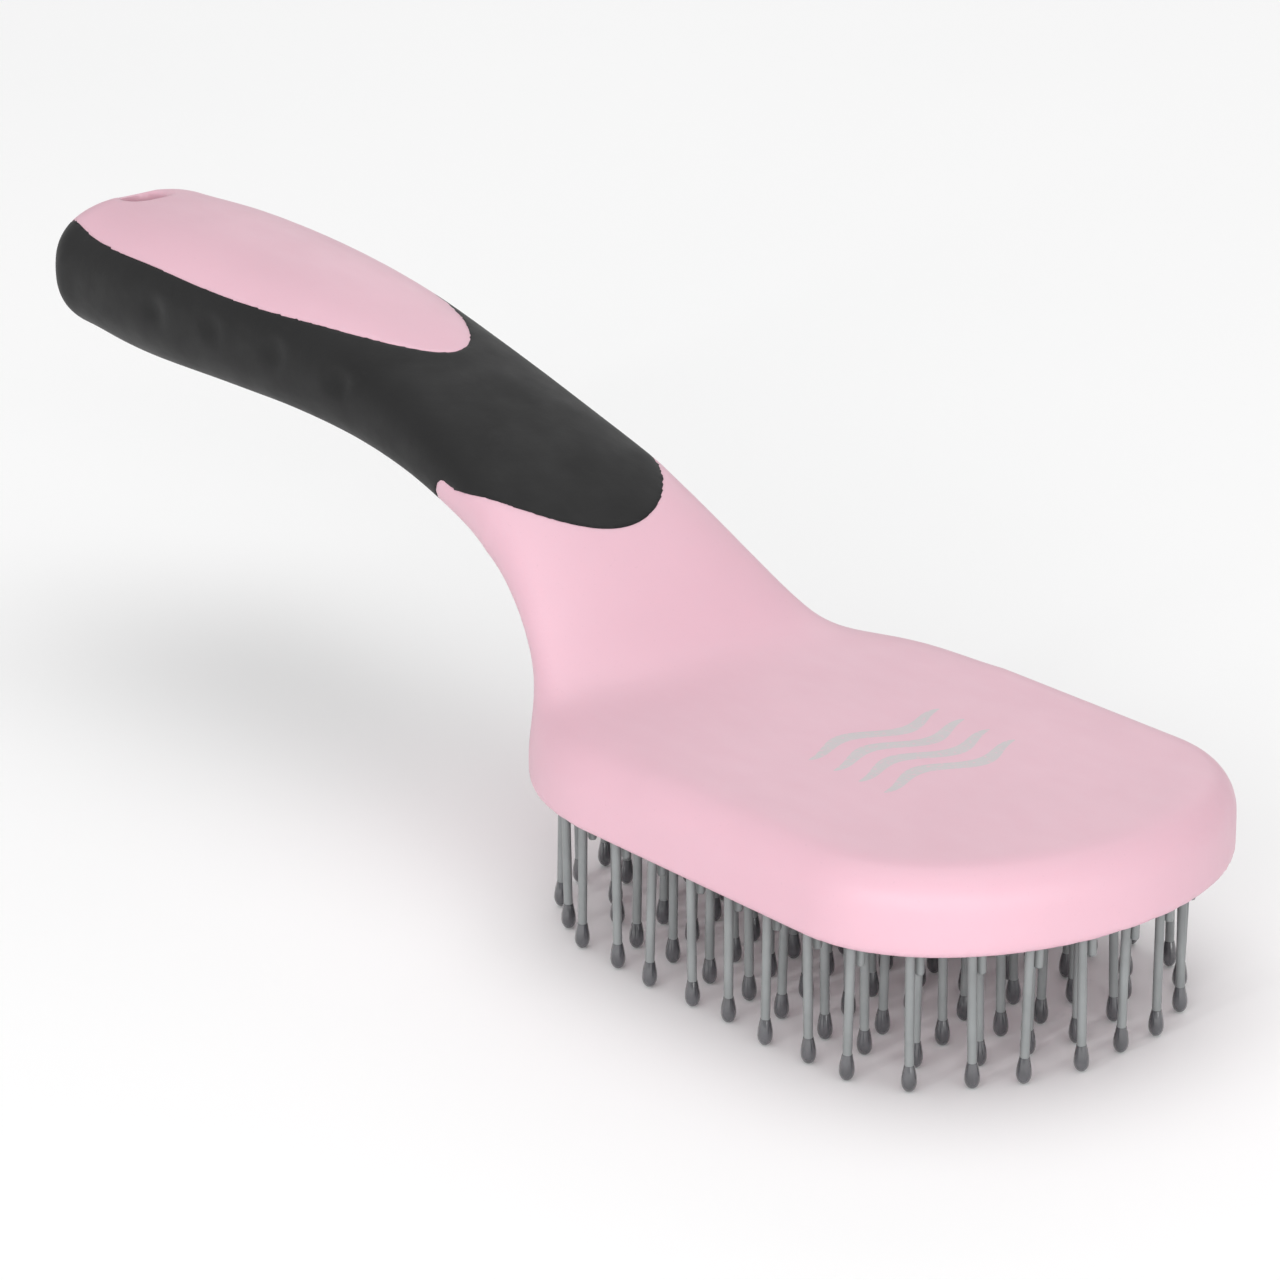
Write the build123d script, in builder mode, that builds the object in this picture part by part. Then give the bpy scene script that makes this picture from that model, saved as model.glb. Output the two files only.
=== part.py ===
"""Mane and tail brush: paddle head with staple-set ball-tipped pins and a soft-grip handle.

Frame: +X towards the front of the head, +Y across the head, +Z up and away from the pins.
The origin is midway along the brush, on the plane that the pin tips touch.
"""
import os
from math import atan, cos, pi, radians, sin

from build123d import *

# ---- overall sizes ------------------------------------------------------------------
overall_length = 234.0     # front of the head to the end of the handle
head_length = 104.5        # front to back of the paddle
head_width = 69.0
head_height = 11.6         # side wall, rim to top face
front_round = 25.0         # length of the half-ellipse at the front of the head
rear_round = 33.6          # length of the half-ellipse at the back of the head
top_round = 5.6            # edge between the top face and the side wall
rim_round = 0.8            # bottom edge of the side wall
pin_reach = 20.3           # rim of the head to the ends of the ball tips

# ---- handle -------------------------------------------------------------------------
neck_overlap = 20.5        # how far the neck reaches into the head from behind
neck_sink = 0.483          # depth of the neck's root below the top face, share of the head's height
handle_rise = 33.6         # how far the neck lifts the centre line
end_round = 11.0           # length of the domed end of the handle
section_power = 2.5        # 2 is an ellipse, more is squarer
section_sides = 20         # points that each section runs through
section_count = 17         # sections along the handle
neck_blend = 1.5           # fillet where the neck meets the head

# along the handle: share of its length, share of the rise, half width, half thickness
stations = (
    (0.00, 0.000, 0.442 * head_width, 0.397 * head_height),
    (0.051, 0.120, 0.391 * head_width, 0.414 * head_height),
    (0.102, 0.310, 0.328 * head_width, 0.440 * head_height),
    (0.204, 0.585, 17.4, 6.2),
    (0.327, 0.762, 14.9, 7.4),
    (0.460, 0.892, 14.0, 8.7),
    (0.593, 0.970, 14.8, 9.9),
    (0.736, 1.000, 16.2, 10.7),
    (0.879, 1.005, 16.7, 11.1),
    (1.000, 1.010, 15.8, 10.4),
)

# ---- soft grip: lengths along the handle are shares of what stands out behind the head --
grip_thickness = 2.0
grip_start = 0.178         # back of the head to the front of the grip underneath
tongue_overlap = 1.1       # how far the tongue's tip comes forward over the head
tongue_half_width = 15.4
tongue_round = 18.0        # length of the half-ellipse at the tongue's tip
tongue_lift = 0.9          # lower edge of the tongue above the centre line at the grip's front
window_start = 0.296       # back of the head to the front of the window in the grip
window_half_width = 14.4
window_taper = 0.402       # stretch over which the window widens
window_end_round = 34.0    # length of the half-ellipse at the back of the window
window_overrun = 5.0       # how far that half-ellipse runs past the handle's end
window_lift = 0.6          # foot of the window's side walls above the centre line's top
dimple_first = 0.376       # back of the head to the first finger dimple
dimple_pitch = 0.112
dimple_count = 4
dimple_radius = 7.0
dimple_depth = 0.6
dimple_lift = 3.4          # first dimple above the middle of the handle's side
dimple_fall = 0.75         # each further dimple sits this much lower

# ---- hanging hole -------------------------------------------------------------------
hole_diameter = 7.0
hole_setback = 10.0        # end of the handle to the hole's axis
hole_wall = 1.6            # wall of the body around the hole where it passes the grip

# ---- pin block ----------------------------------------------------------------------
shell_wall = 2.4
block_clearance = 0.1      # gap around the block
top_wall = 3.5             # head's top wall over the block
block_setback = 0.6        # face of the block above the rim

# ---- pins ---------------------------------------------------------------------------
pin_diameter = 1.25
leg_spacing = 1.65         # between the axes of a pin's long and short legs
stub_reach = 5.2           # how far the short leg stands out of the block
stub_round = 0.4
hole_slack = 0.05          # gap around a pin's two legs in its hole
hole_floor = 1.5           # block's material above the pins' holes
ring_inset = 5.2           # outline of the head to the outermost ring of pins
middle_half_width = 2.1    # half width of the innermost ring
ring_count = 5
pin_pitch = 7.8            # along a ring
largest_lean = 2.2         # degrees
tip_diameter = 2.1
tip_length = 3.7
tip_overlap = 2.6          # how far a pin's end reaches into its ball tip
tip_fullest = 0.38         # share of the tip's length where it is fattest
tip_lip = 0.06             # edge of the tip where it meets the pin
anchor_length = 2.5
anchor_width = 1.4
anchor_thickness = 0.34
anchor_corner = 0.2
anchor_drop = 0.04         # anchor's top edge above the centre of the pin's bend

# ---- derived values -----------------------------------------------------------------
rim_z = pin_reach
top_z = rim_z + head_height
head_front = overall_length / 2
handle_end = -overall_length / 2
half_width = head_width / 2
head_back = head_front - head_length
handle_length = overall_length - head_length
neck_x = head_back + neck_overlap
handle_run = neck_x - handle_end - end_round
neck_z = top_z - neck_sink * head_height
handle_top_z = neck_z + handle_rise
block_face = rim_z + block_setback
block_top = top_z - top_wall
set_depth = block_top - block_face - hole_floor
ring_spacing = (half_width - ring_inset - middle_half_width) / (ring_count - 1)

os.makedirs("parts", exist_ok=True)


def save(piece, name):
    """Label a finished piece and write it to its own file."""
    piece.part.label = name
    export_step(piece.part, f"parts/{name}.step")


# ---- head outline -------------------------------------------------------------------
def head_outline(inset):
    """Plan of the head: straight sides closed by half an ellipse at each end."""
    x_front = head_front - front_round
    x_rear = head_back + rear_round
    half = half_width - inset
    with BuildSketch(mode=Mode.PRIVATE) as outline:
        with BuildLine():
            Line((x_rear, -half), (x_front, -half))
            EllipticalCenterArc((x_front, 0), front_round - inset, half, -90, arc_size=180)
            Line((x_front, half), (x_rear, half))
            EllipticalCenterArc((x_rear, 0), rear_round - inset, half, 90, arc_size=180)
        make_face()
    return outline.sketch


# ---- handle sections ----------------------------------------------------------------
def station_at(share):
    """Rise share, half width and half thickness at a share of the handle's length, smoothly."""
    last = len(stations) - 1
    k = min(sum(1 for station in stations[1:-1] if station[0] <= share), last - 1)
    low, high = stations[k], stations[k + 1]
    before, after = stations[max(k - 1, 0)], stations[min(k + 2, last)]
    span = high[0] - low[0]
    u = (share - low[0]) / span
    values = []
    for column in (1, 2, 3):
        slope_low = (high[column] - before[column]) / (high[0] - before[0])
        slope_high = (after[column] - low[column]) / (after[0] - low[0])
        values.append(
            low[column] * (1 + 2 * u) * (1 - u) ** 2
            + high[column] * u**2 * (3 - 2 * u)
            + span * slope_low * u * (1 - u) ** 2
            - span * slope_high * u**2 * (1 - u)
        )
    return values


def centre_at(share):
    """Point of the handle's centre line in the plane of symmetry."""
    return Vector(neck_x - share * handle_run, 0, neck_z + station_at(share)[0] * handle_rise)


def section_points(wide, thick):
    """Superellipse through evenly turned points, starting at the +Y side."""
    points = []
    for k in range(section_sides):
        c = cos(2 * pi * k / section_sides)
        s = sin(2 * pi * k / section_sides)
        across = wide * abs(c) ** (2 / section_power) * (1 if c > 0 else -1)
        up = thick * abs(s) ** (2 / section_power) * (1 if s > 0 else -1)
        points.append((across, up))
    return points


def section(place, along, wide, thick):
    """Face of one handle section, square to the centre line."""
    with BuildSketch(Plane(origin=place, x_dir=(0, 1, 0), z_dir=along), mode=Mode.PRIVATE) as face:
        with BuildLine():
            Spline(*section_points(wide, thick), periodic=True)
        make_face()
    return face.sketch


def handle_solid(shrink):
    """Smooth solid through the handle's sections with a domed end, each side moved in by shrink."""
    run_faces = []
    for k in range(section_count):
        share = k / (section_count - 1)
        step = 0.5 / section_count
        along = (centre_at(min(share + step, 1)) - centre_at(max(share - step, 0))).normalized()
        _, wide, thick = station_at(share)
        run_faces.append(section(centre_at(share), along, wide - shrink, thick - shrink))
    dome_faces = [run_faces[-1]]
    for turn in (25, 50, 70, 84):
        reach = (end_round - shrink) * sin(radians(turn))
        scale = cos(radians(turn))
        place = centre_at(1) + along * reach
        dome_faces.append(section(place, along, (wide - shrink) * scale, (thick - shrink) * scale))
    with BuildPart(mode=Mode.PRIVATE) as form:
        loft(run_faces)
        loft(dome_faces)
    return form.part


handle_form = handle_solid(0)
handle_core = handle_solid(grip_thickness)

# ---- whole outer form: head and handle in one ---------------------------------------
with BuildPart() as outer_form:
    with BuildSketch(Plane.XY.offset(rim_z)):
        add(head_outline(0))
    extrude(amount=head_height)
    fillet(outer_form.faces().sort_by(Axis.Z)[-1].edges(), radius=top_round)
    fillet(outer_form.faces().sort_by(Axis.Z)[0].edges(), radius=rim_round)
    add(handle_form)
    handle_skin = outer_form.faces().sort_by(SortBy.AREA)[-1]
    junction = handle_skin.edges().filter_by(lambda edge: edge.center().Z < top_z + 0.5)
    fillet(junction, radius=neck_blend)

# ---- space the soft grip fills ------------------------------------------------------
grip_x = head_back - grip_start * handle_length
tongue_x = head_back + tongue_overlap
window_x = head_back - window_start * handle_length
hole_x = handle_end + hole_setback
neck_under_grip = centre_at((neck_x - grip_x) / handle_run)
neck_under_tip = centre_at((neck_x - tongue_x) / handle_run)
neck_slope = (neck_under_grip.Z - neck_under_tip.Z) / (tongue_x - grip_x)
slope = atan(neck_slope)
down_neck = (cos(slope), 0, -sin(slope))
grip_front = Vector(grip_x, 0, neck_under_grip.Z + tongue_lift)
tongue_plane = Plane(origin=grip_front, x_dir=down_neck, z_dir=(sin(slope), 0, cos(slope)))
tongue_length = (tongue_x - grip_x) / cos(slope)
tip_length_on_slope = tongue_round / cos(slope)
clear_height = 60.0        # more than the handle is tall or wide

with BuildPart() as ahead_of_grip:
    with BuildSketch(Plane(origin=grip_front, x_dir=(0, 1, 0), z_dir=down_neck)):
        Rectangle(2 * clear_height, 2 * clear_height)
    extrude(amount=overall_length)
    with BuildSketch(tongue_plane):
        with BuildLine():
            tongue_wide = tongue_length - tip_length_on_slope
            back = tongue_wide - tongue_length
            Line((back, -tongue_half_width), (tongue_wide, -tongue_half_width))
            EllipticalCenterArc((tongue_wide, 0), tip_length_on_slope, tongue_half_width, -90, arc_size=180)
            Line((tongue_wide, tongue_half_width), (back, tongue_half_width))
            Line((back, tongue_half_width), (back, -tongue_half_width))
        make_face()
    extrude(amount=clear_height, dir=(0, 0, 1), mode=Mode.SUBTRACT)

with BuildPart() as window_space:
    with BuildSketch(Plane.XY.offset(handle_top_z + window_lift)):
        with BuildLine():
            taper_length = window_taper * handle_length
            x_wide = window_x - taper_length
            x_back = handle_end + window_end_round - window_overrun
            EllipticalCenterArc((x_wide, 0), taper_length, window_half_width, -90, arc_size=180)
            Line((x_wide, window_half_width), (x_back, window_half_width))
            EllipticalCenterArc((x_back, 0), window_end_round, window_half_width, 90, arc_size=180)
            Line((x_back, -window_half_width), (x_wide, -window_half_width))
        make_face()
    extrude(amount=clear_height)


# ---- soft grip ----------------------------------------------------------------------
with BuildPart() as grip_form:
    add(handle_form)
    add(handle_core, mode=Mode.SUBTRACT)
    add(ahead_of_grip.part, mode=Mode.SUBTRACT)
    add(window_space.part, mode=Mode.SUBTRACT)
    with Locations((hole_x, 0, handle_top_z)):
        Cylinder(hole_diameter / 2 + hole_wall, clear_height, mode=Mode.SUBTRACT)

with BuildPart() as soft_grip:
    add(grip_form.part)
    for k in range(dimple_count):
        x = head_back - (dimple_first + k * dimple_pitch) * handle_length
        rise, wide, thick = station_at((neck_x - x) / handle_run)
        lift = dimple_lift - k * dimple_fall
        side = wide * (1 - (lift / thick) ** section_power) ** (1 / section_power)
        reach = side + dimple_radius - dimple_depth
        z = neck_z + rise * handle_rise + lift
        with Locations((x, reach, z), (x, -reach, z)):
            Sphere(dimple_radius, mode=Mode.SUBTRACT)
save(soft_grip, "soft_grip")

# ---- body: head shell, neck and handle core in one moulding -------------------------
with BuildPart() as body_moulding:
    add(outer_form.part)
    add(grip_form.part, mode=Mode.SUBTRACT)
    with BuildSketch(Plane.XY.offset(rim_z)):
        add(head_outline(shell_wall))
    extrude(amount=block_top - rim_z, mode=Mode.SUBTRACT)
    with Locations((hole_x, 0, handle_top_z)):
        Cylinder(hole_diameter / 2, clear_height, mode=Mode.SUBTRACT)
save(body_moulding, "body_moulding")

# ---- places of the pins -------------------------------------------------------------


def ring_outline(inset):
    """Plan of one ring of pins: the head's outline drawn smaller, with the same style of ends."""
    half = half_width - inset
    front = front_round * half / half_width
    rear = rear_round * half / half_width
    x_front = head_front - inset - front
    x_rear = head_back + inset + rear
    with BuildLine(mode=Mode.PRIVATE) as outline:
        Line((x_rear, -half), (x_front, -half))
        EllipticalCenterArc((x_front, 0), front, half, -90, arc_size=180)
        Line((x_front, half), (x_rear, half))
        EllipticalCenterArc((x_rear, 0), rear, half, 90, arc_size=180)
    return outline.wires()[0]


def ring_places(ring):
    """A place for each pin of a ring, at the block's face, each with its own slight lean."""
    outline = ring_outline(ring_inset + ring * ring_spacing)
    count = max(2, round(outline.length / pin_pitch))
    places = []
    for k in range(count):
        spot = outline.position_at((k + 0.5 * (ring % 2) + 0.25) / count % 1)
        number = 100 * ring + k
        lean = largest_lean * (0.25 + 0.75 * (number * 0.618 % 1))
        heading = 137.5 * number
        places.append(
            Location((spot.X, spot.Y, block_face), (lean * cos(radians(heading)), lean * sin(radians(heading)), 0))
        )
    return places


rings = [ring_places(ring) for ring in range(ring_count)]

# ---- pin block ----------------------------------------------------------------------
hole_radius = (leg_spacing + pin_diameter) / 2 + hole_slack
with BuildPart() as pin_block:
    with BuildSketch(Plane.XY.offset(block_face)):
        add(head_outline(shell_wall + block_clearance))
    extrude(amount=block_top - block_face)
    with Locations(*[place for places in rings for place in places]):
        Cylinder(hole_radius, 2 * set_depth, mode=Mode.SUBTRACT)
save(pin_block, "pin_block")

# ---- one pin, its ball tip and its anchor, at the origin ----------------------------
bend_height = set_depth - hole_slack - (leg_spacing + pin_diameter) / 2
leg_y = leg_spacing / 2
tip_bottom = -(pin_reach + block_setback)

with BuildPart() as pin:
    with BuildLine() as pin_path:
        Line((0, -leg_y, tip_bottom + tip_length - tip_overlap), (0, -leg_y, bend_height))
        ThreePointArc((0, -leg_y, bend_height), (0, 0, bend_height + leg_y), (0, leg_y, bend_height))
        Line((0, leg_y, bend_height), (0, leg_y, -stub_reach))
    with BuildSketch(Plane(origin=pin_path.line @ 0, z_dir=(0, 0, 1))):
        Circle(pin_diameter / 2)
    sweep(path=pin_path.line)
    stub_end = pin.faces().filter_by(GeomType.PLANE).sort_by(Axis.Z)[-1]
    fillet(stub_end.edges(), radius=stub_round)

with BuildPart() as ball_tip:
    with BuildSketch(Plane.XZ):
        with BuildLine():
            Spline(
                (0, 0),
                (tip_diameter / 2, tip_length * tip_fullest),
                (pin_diameter / 2 + tip_lip, tip_length),
                tangents=((1, 0), (-0.25, 1)),
            )
            Polyline(
                (pin_diameter / 2 + tip_lip, tip_length),
                (pin_diameter / 2, tip_length),
                (pin_diameter / 2, tip_length - tip_overlap),
                (0, tip_length - tip_overlap),
                (0, 0),
            )
        make_face()
    revolve(axis=Axis.Z)

with BuildPart() as anchor:
    Box(anchor_length, anchor_thickness, anchor_width)
    fillet(anchor.edges().filter_by(Axis.Y), radius=anchor_corner)

tip_shift = Location((0, -leg_y, tip_bottom))
anchor_shift = Location((0, 0, bend_height + anchor_drop - anchor_width / 2))

# ---- rings of pins, left and right of the middle ------------------------------------
sides = {"left": 1, "right": -1}
for ring, places in enumerate(rings):
    for side, sign in sides.items():
        own = [place for place in places if place.position.Y * sign > 0]
        with BuildPart() as pin_group:
            with Locations(*own):
                add(pin.part)
        save(pin_group, f"ring_{ring + 1}_{side}_pins")
        with BuildPart() as tip_group:
            with Locations(*[place * tip_shift for place in own]):
                add(ball_tip.part)
        save(tip_group, f"ring_{ring + 1}_{side}_ball_tips")
        with BuildPart() as anchor_group:
            with Locations(*[place * anchor_shift for place in own]):
                add(anchor.part)
        save(anchor_group, f"ring_{ring + 1}_{side}_anchors")
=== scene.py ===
"""Looks of the mane and tail brush: moulded body, soft grip, pins, tips, stage and camera."""

from math import cos, pi, radians, sin

import bpy
import numpy as np
from mathutils import Matrix, Vector
from mathutils.bvhtree import BVHTree


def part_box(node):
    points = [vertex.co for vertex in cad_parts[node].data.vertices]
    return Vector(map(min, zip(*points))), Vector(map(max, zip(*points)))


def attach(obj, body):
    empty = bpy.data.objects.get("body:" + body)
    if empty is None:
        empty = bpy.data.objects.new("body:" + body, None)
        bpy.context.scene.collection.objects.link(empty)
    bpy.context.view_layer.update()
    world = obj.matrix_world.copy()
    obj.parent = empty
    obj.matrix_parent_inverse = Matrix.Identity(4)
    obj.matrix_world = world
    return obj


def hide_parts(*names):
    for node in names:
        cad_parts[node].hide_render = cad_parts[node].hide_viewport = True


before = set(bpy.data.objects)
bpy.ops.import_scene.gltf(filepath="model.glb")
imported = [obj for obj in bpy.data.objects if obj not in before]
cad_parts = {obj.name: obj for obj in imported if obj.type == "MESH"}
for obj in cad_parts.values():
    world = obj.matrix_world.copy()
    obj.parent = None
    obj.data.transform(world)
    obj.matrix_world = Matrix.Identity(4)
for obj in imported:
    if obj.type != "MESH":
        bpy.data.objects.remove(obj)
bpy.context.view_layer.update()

bl_info = {
    "name": "Mane and tail brush",
    "version": (1, 0, 0),
    "blender": (4, 5, 0),
    "location": "3D View > Sidebar > Brush",
    "description": "Builds a ball-pin mane and tail brush around its engineering model",
    "category": "Object",
}

MM = 0.001
BODY_NODE = "body_moulding"
GRIP_NODE = "soft_grip"
BLOCK_NODE = "pin_block"
PIN_NODES = sorted(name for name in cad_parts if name.endswith("_pins"))
TIP_NODES = sorted(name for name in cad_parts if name.endswith("_ball_tips"))
ANCHOR_NODES = sorted(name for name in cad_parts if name.endswith("_anchors"))

WELD_GAP = 0.002 * MM        # points closer than this are one point
HOLLOW_AHEAD = 15 * MM       # middle of the neck's hollow, ahead of the block's back end
HOLLOW_FLOOR = 3 * MM        # height over the block's underside where softening starts
HOLLOW_RISE = 5 * MM         # further height over which it comes in fully
HOLLOW_PLATEAU = 1.15        # over one, so the hollow's middle is softened fully
HOLLOW_FADE = 0.7            # power by which the softening fades along the brush
LEAST_WEIGHT = 0.01
POLISH_STEPS = 6
SEAM_REACH = 3 * MM          # how far round the grip the seam is looked for
SEAM_LIMIT = 1 * MM          # distances to the seam are held within this
SEAM_EVENING_STEPS = 6
SEAM_EVENING_SHARE = 0.6


# ---- settings -----------------------------------------------------------------------
class BrushMouldingSettings(bpy.types.PropertyGroup):
    body_colour: bpy.props.FloatVectorProperty(
        name="Body colour", description="Colour of the moulded body", subtype="COLOR",
        size=3, min=0, max=1, default=(0.705, 0.445, 0.520))
    grip_colour: bpy.props.FloatVectorProperty(
        name="Grip colour", description="Colour of the soft grip", subtype="COLOR",
        size=3, min=0, max=1, default=(0.010, 0.010, 0.0103))
    mesh_step: bpy.props.FloatProperty(
        name="Mesh step", description="Edge length of the moulded surface's mesh", unit="LENGTH",
        default=0.7 * MM, min=0.4 * MM)
    neck_blend: bpy.props.FloatProperty(
        name="Neck blend", description="Reach of the soft hollow where the neck meets the head",
        unit="LENGTH", default=24 * MM)
    blend_steps: bpy.props.IntProperty(
        name="Blend steps", description="Smoothing passes in that hollow", default=260, min=0)
    seam_depth: bpy.props.FloatProperty(
        name="Seam depth", description="Depth of the fine groove where grip and body meet",
        unit="LENGTH", default=0.13 * MM)
    grip_thickness: bpy.props.FloatProperty(
        name="Grip thickness", description="Thickness of the grip over the body", unit="LENGTH",
        default=1.9 * MM)


class BrushPinSettings(bpy.types.PropertyGroup):
    pin_colour: bpy.props.FloatVectorProperty(
        name="Pin colour", description="Colour of the drawn nylon pins", subtype="COLOR",
        size=3, min=0, max=1, default=(0.235, 0.248, 0.250))
    tip_colour: bpy.props.FloatVectorProperty(
        name="Tip colour", description="Colour of the dipped ball tips", subtype="COLOR",
        size=3, min=0, max=1, default=(0.060, 0.061, 0.068))
    leg_spacing: bpy.props.FloatProperty(
        name="Leg spacing", description="Distance between a pin's two legs", unit="LENGTH",
        default=1.65 * MM)
    tip_diameter: bpy.props.FloatProperty(
        name="Tip diameter", description="Largest diameter of a ball tip", unit="LENGTH",
        default=2.1 * MM)
    sides: bpy.props.IntProperty(name="Sides", description="Facets round a pin", default=14, min=6)


class BrushStageSettings(bpy.types.PropertyGroup):
    floor_colour: bpy.props.FloatVectorProperty(
        name="Floor colour", description="Colour of the floor", subtype="COLOR",
        size=3, min=0, max=1, default=(0.97, 0.97, 0.97))
    camera_heading: bpy.props.FloatProperty(
        name="Camera heading", description="Direction the camera looks in, from +X",
        subtype="ANGLE", default=2.464)
    camera_tilt: bpy.props.FloatProperty(
        name="Camera tilt", description="How far the camera looks down", subtype="ANGLE",
        default=0.353)
    camera_roll: bpy.props.FloatProperty(
        name="Camera roll", description="Turn of the camera about its line of sight",
        subtype="ANGLE", default=-0.006)
    camera_place: bpy.props.FloatVectorProperty(
        name="Camera place", description="Where the camera stands", subtype="TRANSLATION",
        size=3, unit="LENGTH", default=(0.54296, -0.42390, 0.28026))
    focal_length: bpy.props.FloatProperty(
        name="Focal length", description="Lens, in millimetres on a 36 mm sensor", default=143.6)


# ---- node helpers -------------------------------------------------------------------
def new_material(name):
    """An empty node material with its output and main shader."""
    material = bpy.data.materials.new(name)
    material.use_nodes = True
    nodes = material.node_tree.nodes
    shader = nodes["Principled BSDF"]
    return material, material.node_tree, shader


def noise(tree, scale, detail=3.0, roughness=0.5, stretch=(1, 1, 1)):
    """Noise on the object's own coordinates; scale is in cycles a metre."""
    place = tree.nodes.new("ShaderNodeTexCoord")
    mapping = tree.nodes.new("ShaderNodeMapping")
    mapping.inputs["Scale"].default_value = stretch
    tree.links.new(place.outputs["Object"], mapping.inputs["Vector"])
    texture = tree.nodes.new("ShaderNodeTexNoise")
    texture.inputs["Scale"].default_value = scale
    texture.inputs["Detail"].default_value = detail
    texture.inputs["Roughness"].default_value = roughness
    tree.links.new(mapping.outputs["Vector"], texture.inputs["Vector"])
    return texture.outputs["Fac"]


def remap(tree, value, low, high, to_low, to_high):
    """Value taken from one range to another, held at the ends."""
    node = tree.nodes.new("ShaderNodeMapRange")
    for socket, number in (("From Min", low), ("From Max", high), ("To Min", to_low), ("To Max", to_high)):
        node.inputs[socket].default_value = number
    tree.links.new(value, node.inputs["Value"])
    return node.outputs["Result"]


def mix_colours(tree, factor, first, second):
    """Mix of two colours, each a colour or a socket."""
    node = tree.nodes.new("ShaderNodeMix")
    node.data_type = "RGBA"
    tree.links.new(factor, node.inputs["Factor"])
    for socket, colour in ((node.inputs[6], first), (node.inputs[7], second)):
        if isinstance(colour, bpy.types.NodeSocket):
            tree.links.new(colour, socket)
        else:
            socket.default_value = (*colour[:3], 1)
    return node.outputs[2]


def bump(tree, shader, layers):
    """Bump from several heights, each (height socket, distance in metres, strength)."""
    normal = None
    for height, distance, strength in layers:
        node = tree.nodes.new("ShaderNodeBump")
        node.inputs["Distance"].default_value = distance
        node.inputs["Strength"].default_value = strength
        tree.links.new(height, node.inputs["Height"])
        if normal is not None:
            tree.links.new(normal, node.inputs["Normal"])
        normal = node.outputs["Normal"]
    tree.links.new(normal, shader.inputs["Normal"])


def shade(colour, factor):
    """A colour made lighter or darker by a factor."""
    return tuple(min(1, channel * factor) for channel in colour)


# ---- materials ----------------------------------------------------------------------
def printed_waves(tree, places):
    """Mask of a plain printed motif: a few flowing lines across the head's top."""

    def math(operation, first, second=0.0, clamp=False):
        node = tree.nodes.new("ShaderNodeMath")
        node.operation = operation
        node.use_clamp = clamp
        for socket, value in zip(node.inputs, (first, second)):
            if isinstance(value, bpy.types.NodeSocket):
                tree.links.new(value, socket)
            else:
                socket.default_value = value
        return node.outputs[0]

    place = tree.nodes.new("ShaderNodeTexCoord")
    parts = tree.nodes.new("ShaderNodeSeparateXYZ")
    tree.links.new(place.outputs["Object"], parts.inputs[0])
    along, across, height = parts.outputs[1], parts.outputs[0], parts.outputs[2]
    sway = math("MULTIPLY", math("SINE", math("MULTIPLY", along, 2 * pi / places["wave"])), places["swing"])
    level = math("DIVIDE", math("SUBTRACT", math("SUBTRACT", across, sway), places["start"]), places["pitch"])
    off_line = math("ABSOLUTE", math("SUBTRACT", math("FRACT", level), 0.5))
    reach = math("DIVIDE", along, places["half_length"])
    taper = math("SQRT", math("MAXIMUM", math("SUBTRACT", 1.0, math("MULTIPLY", reach, reach)), 0.0))
    inside = math("SUBTRACT", math("MULTIPLY", taper, places["line_share"]), off_line)
    mask = math("MULTIPLY", inside, 30.0, clamp=True)
    mask = math("MULTIPLY", mask, math("GREATER_THAN", level, 0.0))
    mask = math("MULTIPLY", mask, math("LESS_THAN", level, places["lines"]))
    mask = math("MULTIPLY", mask, math("GREATER_THAN", height, places["above"]))
    worn = remap(tree, noise(tree, 1500, 3), 0.30, 0.46, 0.35, 0.95)
    return math("MULTIPLY", mask, worn)


def body_plastic(colour):
    """Satin moulded plastic: faint flow mottling, fine texture, rubbed spots and a printed motif."""
    material, tree, shader = new_material("satin body plastic")
    mottle = remap(tree, noise(tree, 55, 4), 0.3, 0.7, 0, 1)
    flow = remap(tree, noise(tree, 18, 2, stretch=(0.4, 1, 1)), 0.35, 0.65, 0, 1)
    base = mix_colours(tree, mottle, shade(colour, 0.975), shade(colour, 1.02))
    warm = (colour[0], colour[1] * 0.965, colour[2] * 0.975)
    base = mix_colours(tree, remap(tree, flow, 0, 1, 0, 0.5), base, warm)
    speck = remap(tree, noise(tree, 2600, 1), 0.70, 0.78, 0, 0.35)
    base = mix_colours(tree, speck, base, shade(colour, 0.86))
    low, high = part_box(BLOCK_NODE)
    waves = printed_waves(tree, {
        "wave": 17 * MM, "swing": 1.5 * MM, "start": low.x + (high.x - low.x) * 0.49,
        "pitch": 5.0 * MM, "half_length": 13 * MM, "line_share": 0.27, "lines": 4.0, "above": high.z,
    })
    base = mix_colours(tree, waves, base, (0.53, 0.50, 0.51))
    tree.links.new(base, shader.inputs["Base Color"])
    rub = remap(tree, noise(tree, 130, 5, 0.6, (1, 2.2, 1)), 0.35, 0.75, 0.40, 0.52)
    tree.links.new(rub, shader.inputs["Roughness"])
    shader.inputs["Specular IOR Level"].default_value = 0.42
    shader.inputs["Subsurface Weight"].default_value = 0.08
    shader.inputs["Subsurface Radius"].default_value = (0.004, 0.002, 0.002)
    shader.inputs["Subsurface Scale"].default_value = 1.0
    bump(tree, shader, [
        (noise(tree, 900, 2), 0.03 * MM, 0.35),
        (noise(tree, 4200, 1), 0.01 * MM, 0.35),
    ])
    return material


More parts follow.
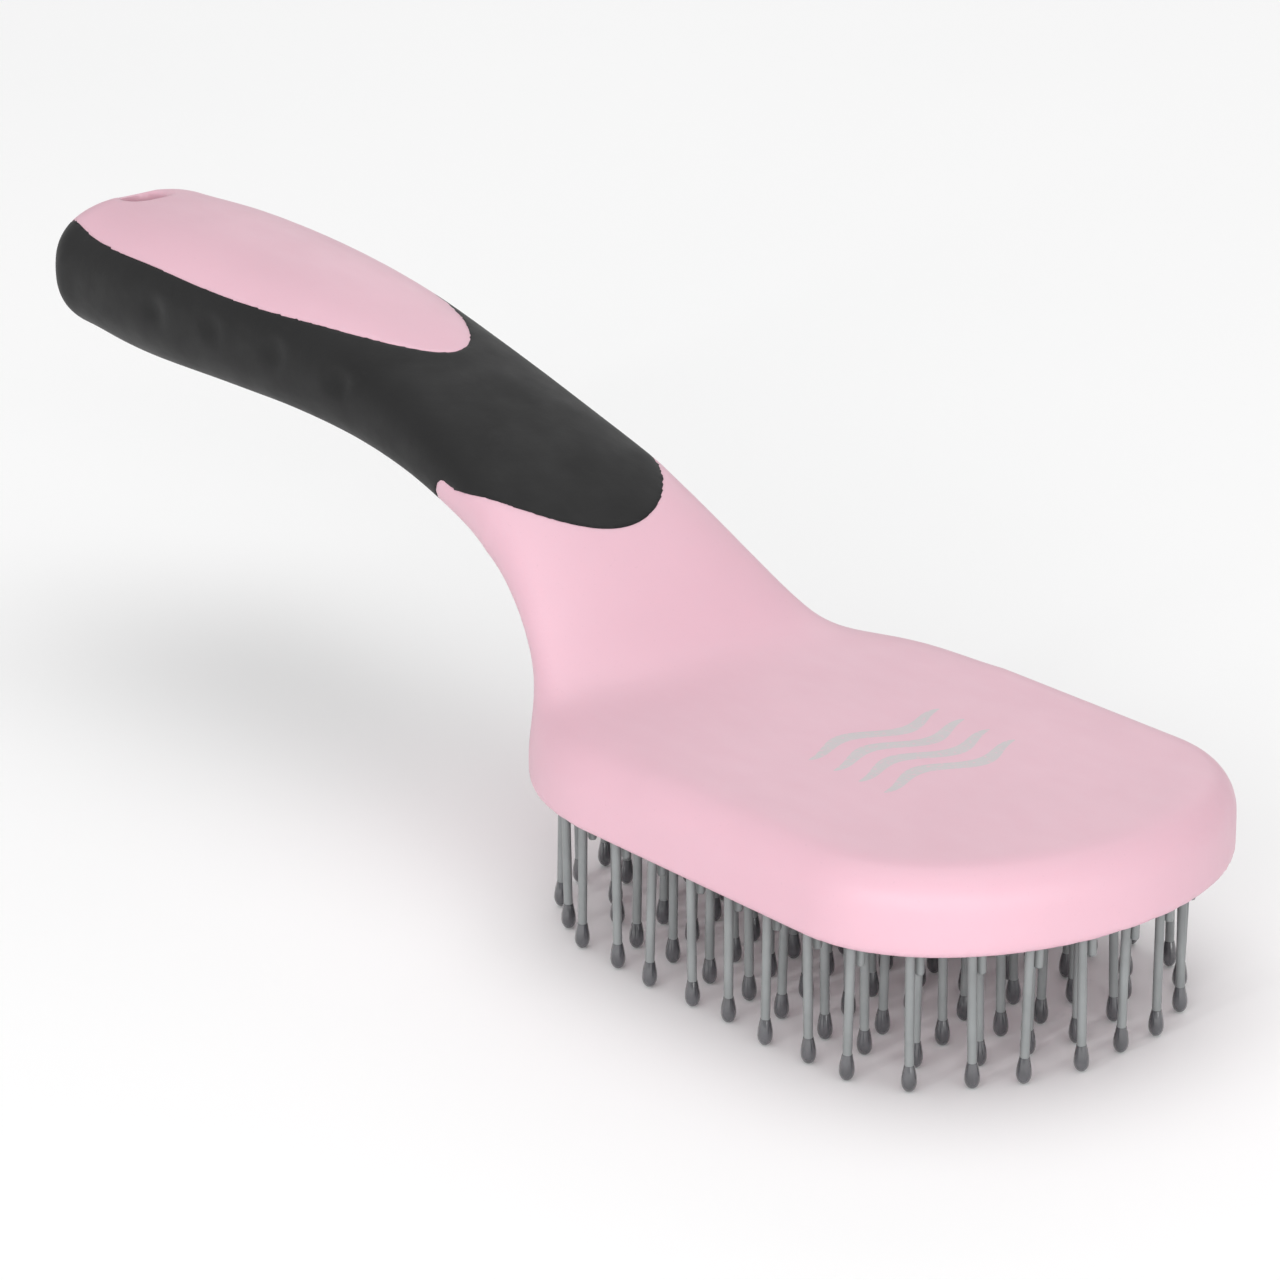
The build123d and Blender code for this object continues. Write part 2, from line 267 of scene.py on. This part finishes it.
def grip_rubber(colour):
    """Soft-touch rubber: matt, finely grained, greyer where hands have rubbed it."""
    material, tree, shader = new_material("soft grip rubber")
    mottle = remap(tree, noise(tree, 70, 4), 0.3, 0.7, 0, 1)
    base = mix_colours(tree, mottle, shade(colour, 0.85), shade(colour, 1.25))
    worn = remap(tree, noise(tree, 240, 5, 0.65, (0.5, 1, 1)), 0.58, 0.8, 0, 0.5)
    base = mix_colours(tree, worn, base, shade(colour, 2.0))
    tree.links.new(base, shader.inputs["Base Color"])
    rough = remap(tree, noise(tree, 160, 4), 0.3, 0.7, 0.56, 0.70)
    tree.links.new(rough, shader.inputs["Roughness"])
    shader.inputs["Specular IOR Level"].default_value = 0.28
    shader.inputs["Sheen Weight"].default_value = 0.04
    shader.inputs["Sheen Roughness"].default_value = 0.5
    bump(tree, shader, [
        (noise(tree, 700, 3), 0.04 * MM, 0.4),
        (noise(tree, 3600, 1), 0.02 * MM, 0.5),
    ])
    return material


def pin_nylon(colour):
    """Drawn nylon: satin, with fine draw lines along the pin and slight colour change."""
    material, tree, shader = new_material("drawn pin nylon")
    mottle = remap(tree, noise(tree, 160, 3), 0.3, 0.7, 0, 1)
    base = mix_colours(tree, mottle, shade(colour, 0.86), shade(colour, 1.12))
    tree.links.new(base, shader.inputs["Base Color"])
    lines = noise(tree, 2600, 2, stretch=(1, 1, 0.04))
    tree.links.new(remap(tree, lines, 0.3, 0.7, 0.30, 0.44), shader.inputs["Roughness"])
    shader.inputs["Specular IOR Level"].default_value = 0.5
    bump(tree, shader, [(lines, 0.02 * MM, 0.4)])
    return material


def tip_resin(colour):
    """Dipped resin: glossy dark grey with a clear outer layer."""
    material, tree, shader = new_material("dipped tip resin")
    mottle = remap(tree, noise(tree, 420, 3), 0.3, 0.7, 0, 1)
    base = mix_colours(tree, mottle, shade(colour, 0.75), shade(colour, 1.3))
    tree.links.new(base, shader.inputs["Base Color"])
    tree.links.new(remap(tree, noise(tree, 900, 2), 0.3, 0.7, 0.06, 0.13), shader.inputs["Roughness"])
    shader.inputs["Specular IOR Level"].default_value = 0.9
    shader.inputs["Coat Weight"].default_value = 1.0
    shader.inputs["Coat Roughness"].default_value = 0.03
    bump(tree, shader, [(noise(tree, 1500, 2), 0.015 * MM, 0.3)])
    return material


def anchor_steel():
    """Bright flat wire with rolled lines."""
    material, tree, shader = new_material("flat anchor wire")
    lines = noise(tree, 1500, 3, stretch=(0.05, 1, 1))
    base = mix_colours(tree, lines, (0.42, 0.42, 0.41), (0.66, 0.65, 0.62))
    tree.links.new(base, shader.inputs["Base Color"])
    tree.links.new(remap(tree, lines, 0.3, 0.7, 0.22, 0.38), shader.inputs["Roughness"])
    shader.inputs["Metallic"].default_value = 1.0
    return material


def floor_paint(colour):
    """Plain pale floor with a barely visible unevenness."""
    material, tree, shader = new_material("pale floor")
    base = mix_colours(tree, noise(tree, 6, 2), shade(colour, 0.99), shade(colour, 1.01))
    tree.links.new(base, shader.inputs["Base Color"])
    shader.inputs["Roughness"].default_value = 0.9
    return material


def dress(node, material):
    """Give a carried-over engineering part its material."""
    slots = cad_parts[node].data.materials
    slots.clear()
    slots.append(material)


# ---- mesh helpers -------------------------------------------------------------------
def mesh_arrays(mesh):
    """Vertex places and triangles of a mesh as arrays."""
    mesh.calc_loop_triangles()
    points = np.empty(len(mesh.vertices) * 3)
    mesh.vertices.foreach_get("co", points)
    triangles = np.empty(len(mesh.loop_triangles) * 3, int)
    mesh.loop_triangles.foreach_get("vertices", triangles)
    return points.reshape(-1, 3), triangles.reshape(-1, 3)


def vertex_normals(mesh):
    """Vertex normals of a mesh as an array."""
    normals = np.empty(len(mesh.vertices) * 3)
    mesh.vertex_normals.foreach_get("vector", normals)
    return normals.reshape(-1, 3)


def tree_of(node):
    """Search tree over one engineering node's surface."""
    points, triangles = mesh_arrays(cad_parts[node].data)
    return BVHTree.FromPolygons([Vector(p) for p in points], triangles.tolist())


def new_piece(name, points, faces, material):
    """A smooth-shaded mesh object at the origin."""
    mesh = bpy.data.meshes.new(name)
    mesh.from_pydata([tuple(p) for p in points], [], faces)
    mesh.validate()
    mesh.shade_smooth()
    mesh.set_sharp_from_angle(angle=radians(42))
    mesh.materials.append(material)
    piece = bpy.data.objects.new(name, mesh)
    bpy.context.scene.collection.objects.link(piece)
    return piece


def applied(piece):
    """Mesh of an object with its modifiers applied."""
    graph = bpy.context.evaluated_depsgraph_get()
    return bpy.data.meshes.new_from_object(piece.evaluated_get(graph))


# ---- one skin over body and grip ----------------------------------------------------
def moulded_skin(step, blend, blend_steps):
    """The outer surface of body and grip as one even mesh, its neck hollow softened."""
    source = bpy.data.meshes.new("skin source")
    points, faces = [], []
    for node in (BODY_NODE, GRIP_NODE):
        own_points, own_faces = mesh_arrays(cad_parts[node].data)
        faces += (own_faces + len(points)).tolist()
        points += own_points.tolist()
    source.from_pydata(points, [], faces)
    piece = bpy.data.objects.new("skin source", source)
    bpy.context.scene.collection.objects.link(piece)
    weld = piece.modifiers.new("weld", "WELD")
    weld.merge_threshold = WELD_GAP
    remesh = piece.modifiers.new("remesh", "REMESH")
    remesh.mode = "VOXEL"
    remesh.voxel_size = step
    even = applied(piece)
    piece.modifiers.clear()
    piece.data = even

    low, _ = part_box(BLOCK_NODE)
    points, _ = mesh_arrays(even)
    middle = low.x + HOLLOW_AHEAD
    across = np.clip(HOLLOW_PLATEAU - np.abs(points[:, 0] - middle) / blend, 0, 1)
    up = np.clip((points[:, 2] - (low.z + HOLLOW_FLOOR)) / HOLLOW_RISE, 0, 1)
    weight = across**HOLLOW_FADE * up
    hollow = piece.vertex_groups.new(name="hollow")
    for index, amount in enumerate(weight):
        if amount > LEAST_WEIGHT:
            hollow.add([index], float(min(1, amount)), "REPLACE")
    smooth = piece.modifiers.new("blend", "SMOOTH")
    smooth.vertex_group = "hollow"
    smooth.factor = 0.5
    smooth.iterations = blend_steps
    polish = piece.modifiers.new("polish", "SMOOTH")
    polish.factor = 0.5
    polish.iterations = POLISH_STEPS
    skin = applied(piece)
    bpy.data.objects.remove(piece)
    return skin, points


def cut_at_seam(points, normals, triangles, side):
    """Split triangles where the signed distance to the seam changes sign."""
    points, normals, side = list(points), list(normals), list(side)
    cut = {}

    def crossing(a, b):
        key = (min(a, b), max(a, b))
        if key not in cut:
            t = side[a] / (side[a] - side[b])
            cut[key] = len(points)
            points.append(points[a] + (points[b] - points[a]) * t)
            normal = normals[a] + (normals[b] - normals[a]) * t
            normals.append(normal / np.linalg.norm(normal))
            side.append(0.0)
        return cut[key]

    body_faces, grip_faces = [], []
    for face in triangles:
        signs = [side[v] > 0 for v in face]
        if all(signs):
            grip_faces.append(list(face))
        elif not any(signs):
            body_faces.append(list(face))
        else:
            lone = signs.index(sum(signs) == 1)
            a, b, c = (int(face[(lone + k) % 3]) for k in range(3))
            ab, ac = crossing(a, b), crossing(a, c)
            corner, rest = [a, ab, ac], [ab, b, c, ac]
            grip_first = signs[lone]
            (grip_faces if grip_first else body_faces).append(corner)
            (body_faces if grip_first else grip_faces).append(rest)
    return np.array(points), np.array(normals), body_faces, grip_faces, set(cut.values())


def seam_edges(faces, seam):
    """Directed edges of the faces that lie on the seam."""
    found = []
    for face in faces:
        for a, b in zip(face, face[1:] + face[:1]):
            if a in seam and b in seam:
                found.append((a, b))
    ones = set(found)
    return [edge for edge in found if (edge[1], edge[0]) not in ones]


def seam_field(rest, triangles):
    """For each vertex, how far it lies on the grip's side of the seam, evened out a little."""
    body_tree, grip_tree = tree_of(BODY_NODE), tree_of(GRIP_NODE)
    grip_low, grip_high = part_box(GRIP_NODE)
    side = np.full(len(rest), -SEAM_LIMIT)
    near_low, near_high = np.array(grip_low) - SEAM_REACH, np.array(grip_high) + SEAM_REACH
    near = np.all((rest > near_low) & (rest < near_high), axis=1)
    for index in np.nonzero(near)[0]:
        place = Vector(rest[index])
        side[index] = body_tree.find_nearest(place)[3] - grip_tree.find_nearest(place)[3]
    side = np.clip(side, -SEAM_LIMIT, SEAM_LIMIT)
    starts = triangles[:, (0, 1, 2)].reshape(-1)
    ends = triangles[:, (1, 2, 0)].reshape(-1)
    shares = np.bincount(starts, minlength=len(rest))
    for _ in range(SEAM_EVENING_STEPS):
        around = np.bincount(starts, side[ends], minlength=len(rest)) / np.maximum(shares, 1)
        side = (1 - SEAM_EVENING_SHARE) * side + SEAM_EVENING_SHARE * around
    return side


def two_shells(skin, rest, depth, groove, body_material, grip_material):
    """Body and grip as two closed pieces, cut from one skin along their seam."""
    points, triangles = mesh_arrays(skin)
    normals = vertex_normals(skin)
    side = seam_field(rest, triangles)
    points, normals, body_faces, grip_faces, seam = cut_at_seam(points, normals, triangles, side)

    lowered = points.copy()
    seam_list = sorted(seam)
    lowered[seam_list] -= normals[seam_list] * groove
    sunk = points - normals * depth
    count = len(points)

    rim = seam_edges(grip_faces, seam)
    walls = [[b, a, a + count, b + count] for a, b in rim]
    inner = [[v + count for v in reversed(face)] for face in grip_faces]
    grip = tidy_piece("grip_skin", np.vstack([lowered, sunk]), grip_faces + inner + walls, grip_material)
    floor = [[v + count for v in face] for face in grip_faces]
    back_walls = [[a, b, b + count, a + count] for a, b in rim]
    body = tidy_piece("body_skin", np.vstack([lowered, sunk]), body_faces + floor + back_walls, body_material)
    return body, grip


def tidy_piece(name, points, faces, material):
    """A piece made of only the points that its faces use."""
    used = sorted({v for face in faces for v in face})
    renumber = {v: k for k, v in enumerate(used)}
    return new_piece(name, points[used], [[renumber[v] for v in face] for face in faces], material)


# ---- places of the pins -------------------------------------------------------------
def islands(node):
    """Point sets of the separate solids in a node."""
    points, triangles = mesh_arrays(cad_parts[node].data)
    keys, index = np.unique(np.round(points / WELD_GAP).astype(int), axis=0, return_inverse=True)
    index = index.reshape(-1)
    parent = list(range(len(keys)))

    def root(v):
        while parent[v] != v:
            parent[v] = parent[parent[v]]
            v = parent[v]
        return v

    for a, b, c in index[triangles]:
        parent[root(a)] = root(b)
        parent[root(b)] = root(c)
    roots = np.array([root(v) for v in index])
    return [points[roots == r] for r in np.unique(roots)]


def unit(vector):
    """The vector at length one."""
    return vector / np.linalg.norm(vector)


def pin_stands(pin_node, tip_node, spacing):
    """For each pin of a node: its foot, its turn and its measures above the foot."""
    block_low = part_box(BLOCK_NODE)[0].z
    tips = islands(tip_node)
    tip_feet = np.array([tip[np.argmin(tip[:, 2])] for tip in tips])
    stands = []
    for pin in islands(pin_node):
        foot = np.unique(np.round(pin[pin[:, 2] < pin[:, 2].min() + 0.1 * MM], 7), axis=0).mean(0)
        bend = np.unique(np.round(pin[pin[:, 2] > block_low + 1 * MM], 7), axis=0).mean(0)
        legs_apart = np.array((0, 1.0, 0))
        for _ in range(3):
            axis = unit(bend - foot - legs_apart * spacing / 2)
            tilt = np.arctan2(-axis[1], axis[2])
            legs_apart = np.array((0, np.cos(tilt), np.sin(tilt)))
        along = (pin - foot) @ axis
        radius = np.abs(pin @ np.cross(legs_apart, axis) - foot @ np.cross(legs_apart, axis)).max()
        leg = along.max() - spacing / 2 - radius
        stub = along[(pin - foot) @ legs_apart > spacing * 0.6].min()
        tip = tips[np.argmin(np.linalg.norm(tip_feet - foot, axis=1))]
        tip_along = (tip - foot) @ axis
        turn = Matrix((np.cross(legs_apart, axis), legs_apart, axis)).transposed().to_quaternion()
        stands.append({
            "foot": foot, "tip_foot": foot + axis * tip_along.min(), "turn": turn,
            "leg": leg, "stub": stub, "radius": radius, "tip": tip_along.max() - tip_along.min(),
        })
    return stands


# ---- geometry node helpers ----------------------------------------------------------
class TreeMaker:
    """Short hand for building a geometry node tree."""

    def __init__(self, name, sizes):
        self.tree = bpy.data.node_groups.new(name, "GeometryNodeTree")
        face = self.tree.interface
        face.new_socket("Geometry", in_out="INPUT", socket_type="NodeSocketGeometry")
        for label, value in sizes.items():
            kind = "NodeSocketInt" if isinstance(value, int) else "NodeSocketFloat"
            face.new_socket(label, in_out="INPUT", socket_type=kind).default_value = value
        face.new_socket("Material", in_out="INPUT", socket_type="NodeSocketMaterial")
        face.new_socket("Geometry", in_out="OUTPUT", socket_type="NodeSocketGeometry")
        self.given = self.tree.nodes.new("NodeGroupInput")
        self.result = self.tree.nodes.new("NodeGroupOutput")

    def size(self, label):
        """Output socket of a named input."""
        return self.given.outputs[label]

    def plug(self, socket, value):
        """Feed a socket from another socket or with a plain value."""
        if isinstance(value, bpy.types.NodeSocket):
            self.tree.links.new(value, socket)
        else:
            socket.default_value = value

    def node(self, kind, **inputs):
        """A node with inputs fed by name; underscores stand for spaces."""
        made = self.tree.nodes.new(kind)
        for label, value in inputs.items():
            self.plug(made.inputs[label.replace("_", " ")], value)
        return made

    def math(self, operation, first, second=0.0, clamp=False):
        """Result of a math node."""
        made = self.tree.nodes.new("ShaderNodeMath")
        made.operation = operation
        made.use_clamp = clamp
        self.plug(made.inputs[0], first)
        self.plug(made.inputs[1], second)
        return made.outputs[0]

    def choose(self, test, when_false, when_true):
        """One of two numbers, by a test."""
        made = self.tree.nodes.new("GeometryNodeSwitch")
        made.input_type = "FLOAT"
        self.plug(made.inputs["Switch"], test)
        self.plug(made.inputs["False"], when_false)
        self.plug(made.inputs["True"], when_true)
        return made.outputs[0]

    def swept(self, count, across, up, radius, sides):
        """Tube through count points of a path in the YZ plane, with its own radius at each."""
        line = self.node("GeometryNodeMeshLine", Count=count)
        curve = self.node("GeometryNodeMeshToCurve", Mesh=line.outputs[0])
        place = self.node("ShaderNodeCombineXYZ", Y=across, Z=up)
        bent = self.node("GeometryNodeSetPosition", Geometry=curve.outputs[0], Position=place.outputs[0])
        sized = self.node("GeometryNodeSetCurveRadius", Curve=bent.outputs[0], Radius=radius)
        ring = self.node("GeometryNodeCurvePrimitiveCircle", Resolution=sides, Radius=1.0)
        kept = self.node("GeometryNodeInputRadius")
        return self.node(
            "GeometryNodeCurveToMesh", Curve=sized.outputs[0], Profile_Curve=ring.outputs[0],
            Scale=kept.outputs[0], Fill_Caps=True).outputs[0]

    def finish_on_points(self, shape):
        """Stand the shape on each point, turned by its attribute, realized and dressed."""
        turn = self.tree.nodes.new("GeometryNodeInputNamedAttribute")
        turn.data_type = "QUATERNION"
        turn.inputs["Name"].default_value = "turn"
        stood = self.node(
            "GeometryNodeInstanceOnPoints", Points=self.size("Geometry"), Instance=shape,
            Rotation=turn.outputs[0])
        real = self.node("GeometryNodeRealizeInstances", Geometry=stood.outputs[0])
        dressed = self.node(
            "GeometryNodeSetMaterial", Geometry=real.outputs[0], Material=self.size("Material"))
        self.plug(self.result.inputs[0], dressed.outputs[0])
        return self.tree


def pin_tree(sizes):
    """Folded pins: a long leg up from the foot, a round bend, and a short leg back down."""
    maker = TreeMaker("folded pins", sizes)
    arc_steps, end_steps = 6, 2
    index = maker.node("GeometryNodeInputIndex").outputs[0]
    half = maker.math("MULTIPLY", maker.size("Leg Spacing"), 0.5)
    share = maker.math("DIVIDE", maker.math("SUBTRACT", index, 1.0), float(arc_steps), clamp=True)
    turn = maker.math("MULTIPLY", share, pi)
    across = maker.math("SUBTRACT", half, maker.math("MULTIPLY", half, maker.math("COSINE", turn)))
    bend = maker.math("ADD", maker.size("Leg Length"), maker.math("MULTIPLY", half, maker.math("SINE", turn)))
    at_foot = maker.math("LESS_THAN", index, 0.5)
    at_end = maker.math("GREATER_THAN", index, arc_steps + 1.5)
    to_end = maker.math(
        "DIVIDE", maker.math("SUBTRACT", index, float(arc_steps + 2)), float(end_steps), clamp=True)
    round_off = maker.size("End Round")
    left = maker.math("POWER", maker.math("SUBTRACT", 1.0, to_end), 1.77)
    stub = maker.math("ADD", maker.size("Stub End"), maker.math("MULTIPLY", round_off, left))
    up = maker.choose(at_end, maker.choose(at_foot, bend, 0.0), stub)
    radius = maker.math(
        "SUBTRACT", maker.math("MULTIPLY", maker.size("Pin Diameter"), 0.5),
        maker.math("MULTIPLY", round_off, maker.math("POWER", to_end, 1.77)))
    shape = maker.swept(arc_steps + end_steps + 3, across, up, radius, maker.size("Sides"))
    return maker.finish_on_points(shape)


def tip_tree(sizes):
    """Teardrop tips: a round foot, a full belly and a neck that closes on the pin."""
    maker = TreeMaker("teardrop tips", sizes)
    belly_steps, neck_steps = 4, 4
    index = maker.node("GeometryNodeInputIndex").outputs[0]
    quarter = maker.math(
        "DIVIDE", maker.math("ADD", index, 0.5), belly_steps + 0.5, clamp=True)
    turn = maker.math("MULTIPLY", quarter, pi / 2)
    rise = maker.math(
        "DIVIDE", maker.math("SUBTRACT", index, float(belly_steps)), float(neck_steps), clamp=True)
    fullest = maker.size("Fullest Place")
    low = maker.math("MULTIPLY", fullest, maker.math("SUBTRACT", 1.0, maker.math("COSINE", turn)))
    high = maker.math("MULTIPLY", maker.math("SUBTRACT", 1.0, fullest), rise)
    up = maker.math("MULTIPLY", maker.size("Tip Length"), maker.math("ADD", low, high))
    belly = maker.math("MULTIPLY", maker.size("Tip Diameter"), 0.5)
    neck = maker.math("MULTIPLY", maker.size("Neck Diameter"), 0.5)
    ease = maker.math("SUBTRACT", 1.0, maker.math("POWER", maker.math("SUBTRACT", 1.0, rise), 1.6))
    ease = maker.math("MULTIPLY", ease, rise)
    radius = maker.math(
        "SUBTRACT", maker.math("MULTIPLY", belly, maker.math("SINE", turn)),
        maker.math("MULTIPLY", maker.math("SUBTRACT", belly, neck), ease))
    shape = maker.swept(belly_steps + neck_steps + 1, 0.0, up, radius, maker.size("Sides"))
    return maker.finish_on_points(shape)


def grown(name, feet, turns, tree, sizes, material):
    """Plain mesh object of a tree's shape standing on each foot."""
    mesh = bpy.data.meshes.new(name)
    mesh.from_pydata([tuple(foot) for foot in feet], [], [])
    turn = mesh.attributes.new("turn", "QUATERNION", "POINT")
    turn.data.foreach_set("value", [part for quaternion in turns for part in quaternion])
    piece = bpy.data.objects.new(name, mesh)
    bpy.context.scene.collection.objects.link(piece)
    modifier = piece.modifiers.new("grow", "NODES")
    modifier.node_group = tree
    names = {item.name: item.identifier for item in tree.interface.items_tree if item.in_out == "INPUT"}
    for label, value in sizes.items():
        modifier[names[label]] = value
    modifier[names["Material"]] = material
    grown_mesh = applied(piece)
    piece.modifiers.clear()
    piece.data = grown_mesh
    grown_mesh.shade_smooth()
    grown_mesh.set_sharp_from_angle(angle=radians(50))
    if not grown_mesh.materials:
        grown_mesh.materials.append(material)
    return piece


# ---- stage helpers ------------------------------------------------------------------
def area_light(name, place, aim, size, energy, colour=(1, 1, 1)):
    """A soft square light that faces a point."""
    lamp = bpy.data.lights.new(name, "AREA")
    lamp.shape = "RECTANGLE"
    lamp.size, lamp.size_y = size
    lamp.energy = energy
    lamp.color = colour
    light = bpy.data.objects.new(name, lamp)
    light.location = place
    light.rotation_euler = (Vector(aim) - Vector(place)).to_track_quat("-Z", "Y").to_euler()
    bpy.context.scene.collection.objects.link(light)
    return light


# ---- operators ----------------------------------------------------------------------
class BRUSH_OT_moulding(bpy.types.Operator):
    """Make the body and its soft grip from one smoothed surface, parted at their seam"""

    bl_idname = "brush.moulding"
    bl_label = "Body and grip"

    def execute(self, context):
        given = context.scene.brush_moulding
        plastic = body_plastic(given.body_colour)
        rubber = grip_rubber(given.grip_colour)
        skin, rest = moulded_skin(given.mesh_step, given.neck_blend, given.blend_steps)
        body, grip = two_shells(skin, rest, given.grip_thickness, given.seam_depth, plastic, rubber)
        for piece, node, slot in ((body, BODY_NODE, "body_plastic"), (grip, GRIP_NODE, "grip_rubber")):
            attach(piece, "root")
            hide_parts(node)
        dress(BLOCK_NODE, plastic)
        return {"FINISHED"}


class BRUSH_OT_pins(bpy.types.Operator):
    """Grow the folded pins and their dipped tips, ring by ring"""

    bl_idname = "brush.pins"
    bl_label = "Pins and tips"

    def execute(self, context):
        given = context.scene.brush_pins
        nylon = pin_nylon(given.pin_colour)
        resin = tip_resin(given.tip_colour)
        steel = anchor_steel()
        pins, tips = None, None
        for pin_node, tip_node in zip(PIN_NODES, TIP_NODES):
            stands = pin_stands(pin_node, tip_node, given.leg_spacing)
            first = stands[0]
            pin_sizes = {
                "Pin Diameter": float(2 * first["radius"]), "Leg Spacing": given.leg_spacing,
                "Leg Length": float(first["leg"]), "Stub End": float(first["stub"]),
                "End Round": 0.4 * MM, "Sides": given.sides,
            }
            tip_sizes = {
                "Tip Diameter": given.tip_diameter, "Tip Length": float(first["tip"]),
                "Neck Diameter": float(2 * first["radius"]) + 0.12 * MM, "Fullest Place": 0.38,
                "Sides": given.sides,
            }
            pins = pins or pin_tree(pin_sizes)
            tips = tips or tip_tree(tip_sizes)
            turns = [stand["turn"] for stand in stands]
            drawn = grown(
                pin_node.replace("_pins", "_drawn_pins"), [stand["foot"] for stand in stands],
                turns, pins, pin_sizes, nylon)
            dipped = grown(
                tip_node.replace("_ball_tips", "_dipped_tips"), [stand["tip_foot"] for stand in stands],
                turns, tips, tip_sizes, resin)
            for piece, node, slot in ((drawn, pin_node, "pin_nylon"), (dipped, tip_node, "tip_resin")):
                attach(piece, "root")
                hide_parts(node)
        for node in ANCHOR_NODES:
            dress(node, steel)
        return {"FINISHED"}


class BRUSH_OT_stage(bpy.types.Operator):
    """Set the floor, the soft lights and the camera"""

    bl_idname = "brush.stage"
    bl_label = "Stage"

    def execute(self, context):
        given = context.scene.brush_stage
        half = 3.0
        mesh = bpy.data.meshes.new("floor")
        corners = [(-half, -half, 0), (half, -half, 0), (half, half, 0), (-half, half, 0)]
        mesh.from_pydata(corners, [], [(0, 1, 2, 3)])
        mesh.materials.append(floor_paint(given.floor_colour))
        floor = bpy.data.objects.new("floor", mesh)
        context.scene.collection.objects.link(floor)

        area_light("overhead", (-0.1, 0.1, 1.5), (0, 0, 0.03), (1.6, 1.6), 8.5)
        area_light("camera side", (1.2, -1.3, 0.6), (0, 0, 0.03), (1.4, 1.0), 16)
        area_light("front", (1.7, -0.1, 0.35), (0, 0, 0.03), (1.0, 0.7), 6)
        area_light("far side", (-0.9, 1.2, 0.7), (0, 0, 0.03), (1.2, 0.8), 3)
        area_light("strip", (0.25, -1.1, 0.35), (0.06, 0, 0.02), (0.05, 0.5), 2.0)

        world = bpy.data.worlds.new("white surround")
        world.use_nodes = True
        world.node_tree.nodes["Background"].inputs["Color"].default_value = (1, 1, 1, 1)
        world.node_tree.nodes["Background"].inputs["Strength"].default_value = 0.5
        context.scene.world = world
        context.scene.view_settings.view_transform = "Standard"

        lens = bpy.data.cameras.new("studio camera")
        lens.lens = given.focal_length
        lens.sensor_width = 36
        lens.clip_start = 0.01
        camera = bpy.data.objects.new("studio camera", lens)
        heading, tilt = given.camera_heading, given.camera_tilt
        forward = Vector((cos(heading) * cos(tilt), sin(heading) * cos(tilt), -sin(tilt)))
        turn = forward.to_track_quat("-Z", "Y") @ Matrix.Rotation(given.camera_roll, 3, "Z").to_quaternion()
        camera.rotation_euler = turn.to_euler()
        camera.location = given.camera_place
        context.scene.collection.objects.link(camera)
        context.scene.camera = camera
        return {"FINISHED"}


class BRUSH_PT_panel(bpy.types.Panel):
    """Steps that build the brush, and their sizes and colours"""

    bl_idname = "BRUSH_PT_panel"
    bl_label = "Mane and tail brush"
    bl_space_type = "VIEW_3D"
    bl_region_type = "UI"
    bl_category = "Brush"

    def draw(self, context):
        scene = context.scene
        for given, step in (
            (scene.brush_moulding, BRUSH_OT_moulding),
            (scene.brush_pins, BRUSH_OT_pins),
            (scene.brush_stage, BRUSH_OT_stage),
        ):
            box = self.layout.box()
            box.operator(step.bl_idname)
            for name in given.bl_rna.properties.keys():
                if name not in ("rna_type", "name"):
                    box.prop(given, name)


SETTINGS = {
    "brush_moulding": BrushMouldingSettings,
    "brush_pins": BrushPinSettings,
    "brush_stage": BrushStageSettings,
}
CLASSES = (*SETTINGS.values(), BRUSH_OT_moulding, BRUSH_OT_pins, BRUSH_OT_stage, BRUSH_PT_panel)


def register():
    """Add the classes and their settings."""
    for kind in CLASSES:
        bpy.utils.register_class(kind)
    for name, kind in SETTINGS.items():
        setattr(bpy.types.Scene, name, bpy.props.PointerProperty(type=kind))


def unregister():
    """Take the settings and the classes away."""
    for name in SETTINGS:
        delattr(bpy.types.Scene, name)
    for kind in reversed(CLASSES):
        bpy.utils.unregister_class(kind)


def main():
    register()
    bpy.ops.brush.moulding()
    bpy.ops.brush.pins()
    bpy.ops.brush.stage()


if __name__ == "__main__":
    main()
